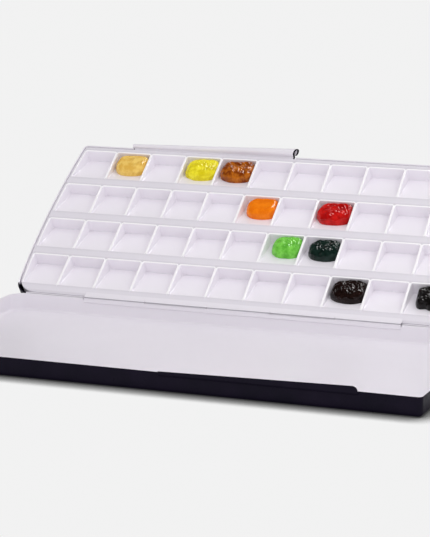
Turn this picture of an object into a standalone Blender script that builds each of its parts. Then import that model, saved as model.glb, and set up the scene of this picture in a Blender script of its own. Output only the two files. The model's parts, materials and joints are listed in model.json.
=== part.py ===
"""Folding palette box: a mixing tray hinged to a tray that holds a moulded sheet of paint wells.

Lengths below are millimetres; every mesh is scaled to metres when it is made.
World frame: origin at the centre of the mixing tray's underside, +X along the hinge,
+Y from the mixing tray towards the hinge, +Z up.
"""
import math

import bmesh
import bpy
from mathutils import Vector

MM = 0.001

# Both trays: pressed steel shells of the same outer size.
TRAY_LENGTH = 302.0
TRAY_DEPTH = 136.6
TRAY_HEIGHT = 11.6
END_BOW = 3.3
END_TAPER = 1.2
FREE_CORNER = 2.8
HINGE_CORNER = 9.0
END_STEPS = 8
MIXING_SHEET = 0.9
MIXING_BEND = 1.6
WELL_SHEET = 0.7
WELL_BEND = 1.0
CORNER_STEPS = 6
BEND_STEPS = 4
CUT_MARGIN = 1.0

# Hinge: a knuckle barrel let into notches in the two back rims.
RIM_GAP = 0.3
WALL_TO_AXIS = 0.3
OPEN_TILT_DEG = 33.1
HINGE_LENGTH = 205.0
KNUCKLES = 5
KNUCKLE_GAP = 0.3
KNUCKLE_RADIUS = 1.0
PIN_HOLE_RADIUS = 0.55
PIN_RADIUS = 0.45
NOTCH_DEPTH = 1.1
NOTCH_END_GAP = 0.5
LEAF = 0.4
LEAF_DROP = 3.05
LEAF_TOP = -0.35
LEAF_TO_WALL = 0.15
MIXING_WEB_LOW = -0.9
MIXING_WEB_FOOT = -1.2
WELL_WEB_LOW = -0.85
WEB_BURY = 0.05
FLANGE_END = 4.4
FLANGE_TOP = 0.25
ROUND_STEPS = 24

# Closing lips on the two free rims, side by side when the palette is shut.
LIP_CLEARANCE = 0.35
LIP_START = 1.0
LIP_END = 115.0
LIP_LOW = 0.7
LIP_HIGH = 3.1
LIP_END_RADIUS = 3.0
MIXING_LIP_SHEET = 0.8
ROLL_SHEET = 0.6
ROLL_START = -115.0
ROLL_END = 0.0
ROLL_RADII = (1.3, 2.4)
ROLL_HEIGHTS = (0.2, 1.6)
LIP_CUT = 1.9
LIP_ROOT = 2.8
STEP_START = 2.0
STEP_END = 0.75
LEAST_STAND = 0.05
ROLL_START_DEG = 180
ROLL_END_DEG = -100
ROLL_STEPS = 14

# Moulded insert: rows of wells, each with an upright far wall and a ramped floor.
COLUMNS = 12
ROWS = 4
COLUMN_PITCH = 25.0
ROW_PITCH = 32.5
FIRST_WALL = 34.75
RAMP_RUN = 25.7
WELL_DEPTH = 9.2
RAMP_STEP = 1.1
INSERT_RECESS = 0.5
INSERT_SKIN = 0.8
DIVIDER = 1.0
INSERT_CLEARANCE = 0.4
INSERT_START = 1.9
INSERT_FREE_CORNER = 2.0
INSERT_HINGE_CORNER = 8.0
END_BORDER = 1.7
SKIRT_LOW = -9.5
RIB_DROP = 0.05
BORDER_INSET = 0.03
POST_INSET = 0.06

# Paint: (name, row from the hinge, column from the left, colour).
DOLLOPS = (
    ("paint_ochre", 4, 2, (0.93, 0.72, 0.30)),
    ("paint_lemon", 4, 4, (0.95, 0.90, 0.05)),
    ("paint_sienna", 4, 5, (0.62, 0.24, 0.03)),
    ("paint_orange", 3, 6, (0.97, 0.42, 0.02)),
    ("paint_red", 3, 8, (0.80, 0.02, 0.02)),
    ("paint_light_green", 2, 7, (0.25, 0.72, 0.08)),
    ("paint_dark_green", 2, 8, (0.01, 0.06, 0.04)),
    ("paint_umber", 1, 9, (0.05, 0.02, 0.015)),
    ("paint_black", 1, 11, (0.01, 0.01, 0.01)),
)
DOLLOP_WIDTH = 22.4
DOLLOP_LENGTH = 18.6
DOLLOP_HEIGHT = 6.6
DOLLOP_GAP = 0.3
DOLLOP_POINTS = 20
DOLLOP_SQUARENESS = 0.75
DOLLOP_LEAN = 0.5
DOLLOP_RINGS = ((0.0, 0.93), (0.12, 1.0), (0.42, 0.95), (0.75, 0.74), (0.95, 0.40))

AXIS_Y = TRAY_DEPTH / 2 + WALL_TO_AXIS
AXIS_Z = TRAY_HEIGHT + RIM_GAP / 2
INSERT_TOP = -RIM_GAP / 2 - INSERT_RECESS


def clear_scene():
    for obj in list(bpy.data.objects):
        bpy.data.objects.remove(obj, do_unlink=True)


def principled(name, colour, roughness, metallic=0.0):
    mat = bpy.data.materials.new(name)
    mat.use_nodes = True
    shader = mat.node_tree.nodes["Principled BSDF"]
    shader.inputs["Base Color"].default_value = (*colour, 1.0)
    shader.inputs["Roughness"].default_value = roughness
    shader.inputs["Metallic"].default_value = metallic
    return mat


def solid(name, verts, faces, mat=None, parent=None, location=(0, 0, 0), tilt=0.0):
    """Make an object from vertices in millimetres, with its faces turned outwards."""
    bm = bmesh.new()
    points = [bm.verts.new(Vector(v) * MM) for v in verts]
    for face in faces:
        bm.faces.new([points[i] for i in face])
    bmesh.ops.recalc_face_normals(bm, faces=bm.faces)
    mesh = bpy.data.meshes.new(name)
    bm.to_mesh(mesh)
    bm.free()
    mesh.shade_smooth()
    mesh.set_sharp_from_angle(angle=math.radians(35))
    if mat:
        mesh.materials.append(mat)
    obj = bpy.data.objects.new(name, mesh)
    bpy.context.scene.collection.objects.link(obj)
    obj.parent = parent
    obj.location = Vector(location) * MM
    obj.rotation_euler = (tilt, 0.0, 0.0)
    return obj


def loft(rings):
    """Return vertices and faces of a closed body skinned over rings of equal length."""
    count = len(rings[0])
    verts = [point for ring in rings for point in ring]
    faces = []
    for r in range(len(rings) - 1):
        low, high = r * count, (r + 1) * count
        for i in range(count):
            j = (i + 1) % count
            faces.append((low + i, low + j, high + j, high + i))
    faces.append(tuple(reversed(range(count))))
    faces.append(tuple(range((len(rings) - 1) * count, len(rings) * count)))
    return verts, faces


def prism(section, x_low, x_high):
    """Return a body with a constant (y, z) section between two x values."""
    return loft([[(x, y, z) for y, z in section] for x in (x_low, x_high)])


def merge(bodies):
    """Return several separate bodies as one list of vertices and faces."""
    verts, faces = [], []
    for body_verts, body_faces in bodies:
        base = len(verts)
        verts += body_verts
        faces += [tuple(base + i for i in face) for face in body_faces]
    return verts, faces


def box(low, high):
    (x0, y0, z0), (x1, y1, z1) = low, high
    return prism([(y0, z0), (y1, z0), (y1, z1), (y0, z1)], x0, x1)


def helper(name, body, parent=None, location=(0, 0, 0)):
    """Make a hidden object for a Boolean."""
    obj = solid(name, *body, parent=parent, location=location)
    obj.hide_render = True
    obj.display_type = "WIRE"
    return obj


def boolean(obj, other, operation):
    mod = obj.modifiers.new(f"{operation.lower()} {other.name}", "BOOLEAN")
    mod.operation = operation
    mod.solver = "EXACT"
    mod.object = other


def arc(centre, radius, start_deg, end_deg, steps):
    points = []
    for i in range(steps + 1):
        angle = math.radians(start_deg + (end_deg - start_deg) * i / steps)
        points.append((centre[0] + radius * math.cos(angle), centre[1] + radius * math.sin(angle)))
    return points


def ribbon(path, thickness):
    """Return the closed outline of a sheet of even thickness whose mid-line is path."""
    left, right = [], []
    for i, (a, b) in enumerate(path):
        before = Vector(path[max(i - 1, 0)])
        after = Vector(path[min(i + 1, len(path) - 1)])
        here = Vector((a, b))
        into = (here - before).normalized() if i else (after - here).normalized()
        out = (after - here).normalized() if i < len(path) - 1 else into
        normal = Vector((-into.y - out.y, into.x + out.x)).normalized()
        reach = thickness / 2 / max(normal.dot(Vector((-into.y, into.x))), 0.5)
        left.append(tuple(here + normal * reach))
        right.append(tuple(here - normal * reach))
    return left + right[::-1]


def end_swell(y, hinge_side):
    """Return how far an end lies beyond its hinge corner: it bows out and tapers to the free rim."""
    t = 2 * y / TRAY_DEPTH
    return END_BOW * max(1 - t ** 2, 0.0) - END_TAPER * (1 - hinge_side * t) / 2


def rounded_plan(half_x, y_low, y_high, low_corner, high_corner, inset, y_middle, hinge_side):
    """Return a plan with rounded corners and bowed ends, drawn inset from its outer edge."""
    outline = []
    quarters = ((1, y_high, high_corner), (-1, y_high, high_corner),
                (-1, y_low, low_corner), (1, y_low, low_corner))
    for quarter, (side, y_edge, corner) in enumerate(quarters):
        centre_y = y_edge - corner if y_edge == y_high else y_edge + corner
        centre = (side * (half_x - corner), centre_y)
        outline += arc(centre, corner - inset, 90 * quarter, 90 * quarter + 90, CORNER_STEPS)
        if quarter in (1, 3):
            y_from, y_to = y_high - high_corner, y_low + low_corner
            if quarter == 3:
                y_from, y_to = y_to, y_from
            for i in range(1, END_STEPS):
                outline.append((side * (half_x - inset), y_from + (y_to - y_from) * i / END_STEPS))
    return [(x + math.copysign(1, x) * end_swell(y - y_middle, hinge_side), y) for x, y in outline]


def plan_ring(inset, z, hinge_side):
    """Return a tray's plan at height z; hinge_side is +1 or -1 along the tray's y."""
    corners = (HINGE_CORNER, FREE_CORNER) if hinge_side < 0 else (FREE_CORNER, HINGE_CORNER)
    half_y = TRAY_DEPTH / 2
    plan = rounded_plan(TRAY_LENGTH / 2, -half_y, half_y, *corners, inset, 0.0, hinge_side)
    return [(x, y, z) for x, y in plan]


def pressed_tray(sheet, bend, hinge_side):
    """Return a shallow open tray of even sheet thickness with bent-up, rounded walls."""
    outer_bend = bend + sheet
    levels = []
    for i in range(BEND_STEPS + 1):
        angle = math.pi / 2 * i / BEND_STEPS
        levels.append((outer_bend * (1 - math.sin(angle)), outer_bend * (1 - math.cos(angle))))
    levels += [(0.0, TRAY_HEIGHT), (sheet, TRAY_HEIGHT)]
    for i in range(BEND_STEPS, -1, -1):
        angle = math.pi / 2 * i / BEND_STEPS
        levels.append((sheet + bend * (1 - math.sin(angle)), sheet + bend * (1 - math.cos(angle))))
    return loft([plan_ring(inset, z, hinge_side) for inset, z in levels])


def cut_rim(tray, label, side, sheet, x_low, x_high, depth, parent):
    """Lower the rim between two x values; side is +1 or -1 along the tray's y."""
    inner = TRAY_DEPTH / 2 - sheet - CUT_MARGIN
    outer = TRAY_DEPTH / 2 + CUT_MARGIN
    y_low, y_high = sorted((side * inner, side * outer))
    body = box((x_low, y_low, TRAY_HEIGHT - depth), (x_high, y_high, TRAY_HEIGHT + CUT_MARGIN))
    cutter = helper(f"{tray.name}_{label}_cutter", body, parent, Vector(tray.location) / MM)
    boolean(tray, cutter, "DIFFERENCE")


def cut_hinge_notch(tray, side, sheet, parent):
    """Lower the rim where the hinge barrel lies."""
    half = HINGE_LENGTH / 2 + NOTCH_END_GAP
    cut_rim(tray, "hinge", side, sheet, -half, half, NOTCH_DEPTH, parent)


def cut_lip_notch(tray, side, sheet, x_low, x_high, parent):
    """Lower the free rim where its lip grows out of the wall."""
    cut_rim(tray, "lip", side, sheet, x_low, x_high, LIP_CUT, parent)


def mixing_lip():
    """Return the straight lip of the mixing tray: it steps outwards, then stands up."""
    front = -TRAY_DEPTH / 2
    mid_wall = front + MIXING_SHEET / 2
    mid_lip = front - LIP_CLEARANCE - MIXING_LIP_SHEET / 2
    arc_start = LIP_END - LIP_END_RADIUS
    stations = [LIP_START, LIP_START + (arc_start - LIP_START) / 2]
    stations += [x for x, _ in arc((arc_start, 0), LIP_END_RADIUS, 90, 0, CORNER_STEPS)]
    rings = []
    for x in stations:
        height = LIP_LOW + (LIP_HIGH - LIP_LOW) * (x - LIP_START) / (LIP_END - LIP_START)
        if x > arc_start:
            height += math.sqrt(max(LIP_END_RADIUS ** 2 - (x - arc_start) ** 2, 0.0)) - LIP_END_RADIUS
        path = [
            (mid_wall, TRAY_HEIGHT - LIP_ROOT),
            (mid_wall, TRAY_HEIGHT - STEP_START),
            (mid_lip, TRAY_HEIGHT - STEP_END),
            (mid_lip, TRAY_HEIGHT + max(height, LEAST_STAND)),
        ]
        rings.append([(x, y, z) for y, z in ribbon(path, MIXING_LIP_SHEET)])
    return loft(rings)


def roll_path(radius, height):
    """Return the mid-line of the rolled lip in (y, z), y measured out from the wall's face."""
    wall = -WELL_SHEET / 2
    mid_radius = radius - ROLL_SHEET / 2
    centre = (LIP_CLEARANCE + radius, height)
    stem = [(wall, -LIP_ROOT), (wall, -STEP_START), (LIP_CLEARANCE + ROLL_SHEET / 2, -STEP_END)]
    return stem + arc(centre, mid_radius, ROLL_START_DEG, ROLL_END_DEG, ROLL_STEPS)


def rolled_lip():
    """Return the outward roll along the well tray's free rim; it widens along its length."""
    rings = []
    for x, radius, height in zip((ROLL_START, ROLL_END), ROLL_RADII, ROLL_HEIGHTS):
        outline = ribbon(roll_path(radius, height), ROLL_SHEET)
        rings.append([(x, TRAY_DEPTH / 2 + y, TRAY_HEIGHT + z) for y, z in outline])
    return loft(rings)


def make_mixing_tray(mat):
    tray = solid("mixing_tray", *pressed_tray(MIXING_SHEET, MIXING_BEND, 1), mat=mat)
    cut_hinge_notch(tray, 1, MIXING_SHEET, None)
    cut_lip_notch(tray, -1, MIXING_SHEET, LIP_START, LIP_END, None)
    boolean(tray, helper("mixing_lip_blank", mixing_lip()), "UNION")
    return tray


def make_well_tray(mat, pivot):
    location = (0, AXIS_Y, -AXIS_Z)
    shell = pressed_tray(WELL_SHEET, WELL_BEND, -1)
    tray = solid("well_tray", *shell, mat=mat, parent=pivot, location=location)
    cut_hinge_notch(tray, -1, WELL_SHEET, pivot)
    cut_lip_notch(tray, 1, WELL_SHEET, ROLL_START, ROLL_END, pivot)
    boolean(tray, helper("rolled_lip_blank", rolled_lip(), pivot, location), "UNION")
    return tray


def knuckle_spans(parity):
    """Return the x ranges of every second knuckle, starting with knuckle 0 or 1."""
    pitch = HINGE_LENGTH / KNUCKLES
    spans = []
    for i in range(parity, KNUCKLES, 2):
        start = -HINGE_LENGTH / 2 + i * pitch
        spans.append((start + KNUCKLE_GAP / 2, start + pitch - KNUCKLE_GAP / 2))
    return spans


def pin_hole_cutter(name, parent, location):
    circle = arc((0, 0), PIN_HOLE_RADIUS, 0, 360 - 360 / ROUND_STEPS, ROUND_STEPS - 1)
    half = HINGE_LENGTH / 2 + CUT_MARGIN
    return helper(name, prism(circle, -half, half), parent, location)


def make_mixing_leaf(mat):
    """Hinge leaf on the inner face of the mixing tray's back wall."""
    wall_face = -WALL_TO_AXIS - MIXING_SHEET - LEAF_TO_WALL
    inner, outer = wall_face - LEAF, wall_face
    plate = [(inner, -LEAF_DROP + LEAF), (outer, -LEAF_DROP), (outer, LEAF_TOP), (inner, LEAF_TOP)]
    web_high = LEAF_TOP - WEB_BURY
    near, far = inner + WEB_BURY, outer - WEB_BURY
    start = math.degrees(math.asin(MIXING_WEB_LOW / KNUCKLE_RADIUS))
    end = math.degrees(math.asin(web_high / KNUCKLE_RADIUS))
    round_part = arc((0, 0), KNUCKLE_RADIUS, -180 - start, 180 - end, ROUND_STEPS)
    web = [(near, web_high), (near, MIXING_WEB_FOOT), (far, MIXING_WEB_FOOT), (far, MIXING_WEB_LOW)]
    knuckle = web + round_part
    location = (0, AXIS_Y, AXIS_Z)
    half = HINGE_LENGTH / 2
    leaf = solid("mixing_leaf", *prism(plate, -half, half), mat=mat, location=location)
    knuckles = merge([prism(knuckle, low, high) for low, high in knuckle_spans(0)])
    boolean(leaf, helper("mixing_knuckles_blank", knuckles, None, location), "UNION")
    boolean(leaf, pin_hole_cutter("mixing_pin_cutter", None, location), "DIFFERENCE")
    return leaf


def make_well_leaf(mat, pivot):
    """Hinge leaf of the well tray: a leg on its wall and a flange over the insert's edge."""
    leg_in = WALL_TO_AXIS + WELL_SHEET + LEAF_TO_WALL
    leg_out = leg_in + LEAF
    flange_low = FLANGE_TOP - LEAF
    angle = [
        (leg_in, -LEAF_DROP), (leg_out, -LEAF_DROP), (leg_out, flange_low),
        (FLANGE_END, flange_low), (FLANGE_END, FLANGE_TOP), (leg_in, FLANGE_TOP),
    ]
    web_high, web_end = FLANGE_TOP - WEB_BURY, leg_out - WEB_BURY
    start = math.degrees(math.asin(web_high / KNUCKLE_RADIUS))
    end = 360 + math.degrees(math.asin(WELL_WEB_LOW / KNUCKLE_RADIUS))
    round_part = arc((0, 0), KNUCKLE_RADIUS, start, end, ROUND_STEPS)
    knuckle = round_part + [(web_end, WELL_WEB_LOW), (web_end, web_high)]
    half = HINGE_LENGTH / 2
    leaf = solid("well_leaf", *prism(angle, -half, half), mat=mat, parent=pivot)
    knuckles = merge([prism(knuckle, low, high) for low, high in knuckle_spans(1)])
    boolean(leaf, helper("well_knuckles_blank", knuckles, pivot), "UNION")
    boolean(leaf, pin_hole_cutter("well_pin_cutter", pivot, (0, 0, 0)), "DIFFERENCE")
    return leaf


def make_pin(mat):
    circle = arc((0, 0), PIN_RADIUS, 0, 360 - 360 / ROUND_STEPS, ROUND_STEPS - 1)
    half = HINGE_LENGTH / 2
    return solid("hinge_pin", *prism(circle, -half, half), mat=mat, location=(0, AXIS_Y, AXIS_Z))


def well_walls():
    """Return the distance from the axis of each row's far wall, nearest row first."""
    return [FIRST_WALL + ROW_PITCH * i for i in range(ROWS)]


def insert_section():
    """Return the (y, z) outline of the insert's skin: rims, ramps and far walls."""
    top, skin = INSERT_TOP, INSERT_SKIN
    floor, step = top - WELL_DEPTH, top - RAMP_STEP
    upper = [(INSERT_START, SKIRT_LOW), (INSERT_START, top)]
    under = [(INSERT_START + skin, SKIRT_LOW), (INSERT_START + skin, top - skin)]
    for wall in well_walls():
        ramp_end = wall - RAMP_RUN
        upper += [(ramp_end, top), (ramp_end, step), (wall, floor), (wall, top)]
        under += [(ramp_end - skin, top - skin), (ramp_end - skin, step - skin)]
        under += [(wall + skin, floor - skin), (wall + skin, top - skin)]
    upper += [(insert_end(), top), (insert_end(), SKIRT_LOW)]
    under += [(insert_end() - skin, top - skin), (insert_end() - skin, SKIRT_LOW)]
    return upper + under[::-1]


def divider_bodies():
    """Return the dividers between wells, sunk a little into the skin around them."""
    bury = INSERT_SKIN / 2
    top = INSERT_TOP - RIB_DROP
    bodies = []
    for wall in well_walls():
        start = wall - RAMP_RUN - bury
        section = [
            (start, top), (start, INSERT_TOP - RAMP_STEP - bury),
            (wall + bury, INSERT_TOP - WELL_DEPTH - bury), (wall + bury, top),
        ]
        for k in range(1, COLUMNS):
            x = (k - COLUMNS / 2) * COLUMN_PITCH
            bodies.append(prism(section, x - DIVIDER / 2, x + DIVIDER / 2))
    return bodies


def insert_half_length():
    return TRAY_LENGTH / 2 - WELL_SHEET - INSERT_CLEARANCE


def tray_middle():
    """Return the distance from the axis of the middle of the well tray."""
    return WALL_TO_AXIS + TRAY_DEPTH / 2


def insert_end():
    """Return the distance from the axis of the insert's far edge."""
    return WALL_TO_AXIS + TRAY_DEPTH - WELL_SHEET - INSERT_CLEARANCE


def end_border_bodies():
    """Return blanks for the end wells' outer walls, which follow the trays' bowed ends."""
    inner, outer = insert_half_length() - END_BORDER, insert_half_length() + CUT_MARGIN
    low, high = SKIRT_LOW + BORDER_INSET, INSERT_TOP - BORDER_INSET
    start, end = INSERT_START + BORDER_INSET, insert_end() - BORDER_INSET
    bodies = []
    for sign in (-1, 1):
        rings = []
        for i in range(2 * END_STEPS + 1):
            y = start + (end - start) * i / (2 * END_STEPS)
            swell = end_swell(y - tray_middle(), -1)
            section = [(inner, low), (outer, low), (outer, high), (inner, high)]
            rings.append([(sign * (x + swell), y, z) for x, z in section])
        bodies.append(loft(rings))
    return bodies


def post_bodies():
    """Return the posts that back the insert's rounded corners."""
    half = insert_half_length()
    spans = (
        (INSERT_START + POST_INSET, FIRST_WALL - RAMP_RUN - POST_INSET, INSERT_HINGE_CORNER),
        (well_walls()[-1] + POST_INSET, insert_end() - POST_INSET, INSERT_FREE_CORNER),
    )
    bodies = []
    for sign in (-1, 1):
        for y_low, y_high, reach in spans:
            x_low, x_high = sorted((sign * (half - END_TAPER), sign * (half - END_TAPER - reach)))
            low = (x_low, y_low, SKIRT_LOW + POST_INSET)
            bodies.append(box(low, (x_high, y_high, INSERT_TOP - POST_INSET)))
    return bodies


def insert_envelope():
    """Return a rounded block that trims the insert's four corners."""
    corners = (INSERT_HINGE_CORNER, INSERT_FREE_CORNER)
    half = insert_half_length()
    outline = rounded_plan(half, INSERT_START, insert_end(), *corners, 0.0, tray_middle(), -1)
    return loft([[(x, y, z) for x, y in outline] for z in (-TRAY_HEIGHT - CUT_MARGIN, CUT_MARGIN)])


def make_insert(mat, pivot):
    reach = insert_half_length() + END_BOW + CUT_MARGIN / 2
    insert = solid("well_insert", *prism(insert_section(), -reach, reach), mat=mat, parent=pivot)
    for name, bodies in (
        ("divider", divider_bodies()), ("border", end_border_bodies()), ("post", post_bodies()),
    ):
        boolean(insert, helper(f"{name}_blanks", merge(bodies), pivot), "UNION")
    boolean(insert, helper("insert_envelope", insert_envelope(), pivot), "INTERSECT")
    return insert


def dollop_body(slope):
    """Return a rounded heap with a flat underside; its back is parallel to the well's far wall."""
    rings = []
    for rise, spread in DOLLOP_RINGS:
        ring = []
        for i in range(DOLLOP_POINTS):
            angle = 2 * math.pi * i / DOLLOP_POINTS
            c, s = math.cos(angle), math.sin(angle)
            x = math.copysign(abs(c) ** DOLLOP_SQUARENESS, c) * DOLLOP_WIDTH / 2 * spread
            y = math.copysign(abs(s) ** DOLLOP_SQUARENESS, s) * DOLLOP_LENGTH / 2 * spread
            y += (1 - spread) * DOLLOP_LEAN * DOLLOP_LENGTH / 2 - rise * DOLLOP_HEIGHT * math.tan(slope)
            ring.append((x, y, rise * DOLLOP_HEIGHT))
        rings.append(ring)
    return loft(rings)


def make_dollops(pivot):
    """Squeezed paint lying at the deep end of some wells, against the right divider."""
    slope = math.atan2(WELL_DEPTH - RAMP_STEP, RAMP_RUN)
    body = dollop_body(slope)
    for name, row, column, colour in DOLLOPS:
        wall = well_walls()[row - 1]
        right = (column - COLUMNS / 2) * COLUMN_PITCH - DIVIDER / 2
        x = right - DOLLOP_GAP - DOLLOP_WIDTH / 2
        along = DOLLOP_LENGTH / 2 + DOLLOP_GAP / math.cos(slope)
        y = wall - along * math.cos(slope) + DOLLOP_GAP * math.sin(slope)
        z = INSERT_TOP - WELL_DEPTH + along * math.sin(slope) + DOLLOP_GAP * math.cos(slope)
        mat = principled(name, colour, 0.15)
        solid(name, *body, mat=mat, parent=pivot, location=(x, y, z), tilt=-slope)


def main():
    clear_scene()
    black = principled("black_enamel", (0.012, 0.011, 0.02), 0.25)
    white = principled("white_enamel", (0.80, 0.78, 0.83), 0.3)
    plastic = principled("white_plastic", (0.84, 0.82, 0.87), 0.35)
    steel = principled("steel_wire", (0.6, 0.6, 0.6), 0.3, 1.0)
    pivot = bpy.data.objects.new("well_tray_pivot", None)
    bpy.context.scene.collection.objects.link(pivot)
    pivot.location = Vector((0, AXIS_Y, AXIS_Z)) * MM
    pivot.rotation_euler = (math.radians(OPEN_TILT_DEG), 0, 0)
    make_mixing_tray(black)
    make_mixing_leaf(white)
    make_pin(steel)
    make_well_tray(black, pivot)
    make_well_leaf(white, pivot)
    make_insert(plastic, pivot)
    make_dollops(pivot)
    bpy.context.view_layer.update()


main()
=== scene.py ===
import json
import math

import bmesh
import bpy
from mathutils import Matrix, Vector, noise


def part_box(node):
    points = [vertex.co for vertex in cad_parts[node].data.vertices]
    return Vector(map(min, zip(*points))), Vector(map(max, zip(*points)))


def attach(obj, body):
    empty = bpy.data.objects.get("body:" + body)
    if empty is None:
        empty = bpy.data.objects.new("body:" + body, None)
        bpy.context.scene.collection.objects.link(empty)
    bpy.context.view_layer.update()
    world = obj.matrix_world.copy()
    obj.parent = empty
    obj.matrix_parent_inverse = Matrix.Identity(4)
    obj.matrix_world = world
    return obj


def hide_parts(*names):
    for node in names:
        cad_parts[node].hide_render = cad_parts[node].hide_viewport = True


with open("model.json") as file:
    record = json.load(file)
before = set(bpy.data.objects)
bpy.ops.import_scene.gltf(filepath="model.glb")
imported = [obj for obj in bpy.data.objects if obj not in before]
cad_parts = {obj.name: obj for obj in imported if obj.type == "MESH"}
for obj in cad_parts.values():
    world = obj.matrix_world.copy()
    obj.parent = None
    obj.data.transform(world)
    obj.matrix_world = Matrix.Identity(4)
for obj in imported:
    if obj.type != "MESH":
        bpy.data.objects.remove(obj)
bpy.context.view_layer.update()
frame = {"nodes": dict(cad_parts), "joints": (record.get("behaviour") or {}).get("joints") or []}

# Lengths are in millimetres, scaled to metres when a mesh is made, unless a heading says otherwise.
MM = 0.001

# ---------------------------------------------------------------- both trays
# The ends bow out and taper to the free rim; END_SWELL is how far they reach past the hinge corners.
END_BOW = 3.3
END_TAPER = 1.2
END_SWELL = 2.7
RIM_GAP = 0.3

# ---------------------------------------------------------------- places read from the frame
HINGE = frame["joints"][0]
AXIS = Vector(HINGE["pos_m"]) / MM
TILT = math.radians(180.0 - HINGE["range_deg"][1])
NEAR_LOW, NEAR_HIGH = (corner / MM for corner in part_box("mixing_tray"))
TRAY_LENGTH = NEAR_HIGH.x - NEAR_LOW.x - 2 * END_SWELL
TRAY_DEPTH = 2 * NEAR_HIGH.y
TRAY_HEIGHT = AXIS.z - RIM_GAP / 2
WALL_TO_AXIS = AXIS.y - NEAR_HIGH.y

# The near tray's own axes are the frame's. The far tray's start on the hinge and lean back with the tray.
NEAR = Matrix.Identity(4)
FAR = Matrix.Translation(AXIS) @ Matrix.Rotation(TILT, 4, "X")

# ---------------------------------------------------------------- sheet metal
FREE_CORNER = 2.8
HINGE_CORNER = 9.0
MIXING_SHEET = 0.9
MIXING_BEND = 1.6
WELL_SHEET = 0.7
WELL_BEND = 1.0
HINGE_LENGTH = 205.0
NOTCH_DEPTH = 1.1
NOTCH_END_GAP = 0.5
# The painted shadow line along the hinge barrel: its height over the axis, and the distances over which it
# fades out.
GAP_SHADOW_HEIGHT = 0.25
GAP_SHADOW_FADE = (0.2, 0.4)
RIM_BAND = 2.5
BEND_STEPS = 8
CORNER_STEPS = 12
SIDE_STEPS = 24
CUT_STEP = 0.02
LIP_CLEARANCE = 0.35
LIP_CUT = 1.9
LIP_ROOT = 2.8
LIP_SPAN = (1.0, 115.0)
LIP_HEIGHTS = (0.7, 3.1)
LIP_END_RADIUS = 3.0
LIP_SHEET = 0.8
LIP_EDGE_RISE = 0.05
LIP_STEPS = 12
ROLL_SPAN = (-115.0, 0.0)
ROLL_SHEET = 0.6
ROLL_SLANT = 0.45
ROLL_EDGE = 0.8
ROLL_RADII = (1.3, 2.4)
ROLL_HEIGHTS = (0.2, 1.6)
ROLL_TURN = (180, -100)
ROLL_TURN_STEPS = 36
ROLL_STEPS = 24
MITRE_LIMIT = 0.5

# The mixing tray's lip steps outwards at these (share of the way out, height over the rim) places.
LIP_STEP = ((0.0, -LIP_ROOT), (0.0, -2.15), (0.1, -1.85), (0.9, -1.0), (1.0, -0.7))
# The well tray's lip leaves the wall at the first of these heights and starts to roll at the second.
ROLL_STEP = (-2.0, -0.75)
# Bands of a shell from the outside over its rim, counted from the rim's outer edge.
OUTSIDE_BAND, RIM_OUTER, RIM_CROWN, RIM_INNER, INSIDE_BAND = -1, 0, 2, 5, 6
# A place on the plan is on a straight side when its way out is this square to it, and on a corner when less.
SQUARE_ON = 0.99
CORNER_ON = 0.05

# ---------------------------------------------------------------- moulded insert
COLUMNS = 12
ROWS = 4
COLUMN_PITCH = 25.0
ROW_PITCH = 32.5
FIRST_WALL = 34.75
RAMP_RUN = 25.7
WELL_DEPTH = 9.2
RAMP_STEP = 1.1
INSERT_TOP = -0.65
INSERT_LOW = -10.6
INSERT_START = 1.9
INSERT_CLEARANCE = 0.4
INSERT_FREE_CORNER = 2.0
INSERT_HINGE_CORNER = 11.0
BORDER = 1.7
DIVIDER = 1.0
MOUTH_RADIUS = 1.3
EDGE_ROUND = 0.3
EDGE_BAND = (0.42, 0.6)
FOOT_ROUND = 0.45
FOOT_SHARE = 0.45
DRAFT = 0.12
MOUTH_STEPS = 6
MOUTH_SIDE_STEPS = 5
ROUND_STEPS = 4
MERGE_GAP = 0.002
# From a cell's edge inwards, this many bands of faces are ledge, with painted shade, or bright edge, with a
# painted highlight.
EDGE_BANDS = 5
# The insert's outer edge is rounded over in these (out, down) moves.
SKIRT_MOVES = ((0.15, 0.04), (0.11, 0.11), (0.04, 0.15))

# -------------------------------------------------------- paint: rows from the hinge, columns from the left
HEAP_HEIGHT = 8.3
HEAP_GAP = 0.06
HEAP_WALL_GAP = 0.3
HEAP_LEAN = 1.5
HEAP_RIM = 0.02
HEAP_FOOT = -0.05
HEAP_AROUND = 128
HEAP_ACROSS = 48
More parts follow.
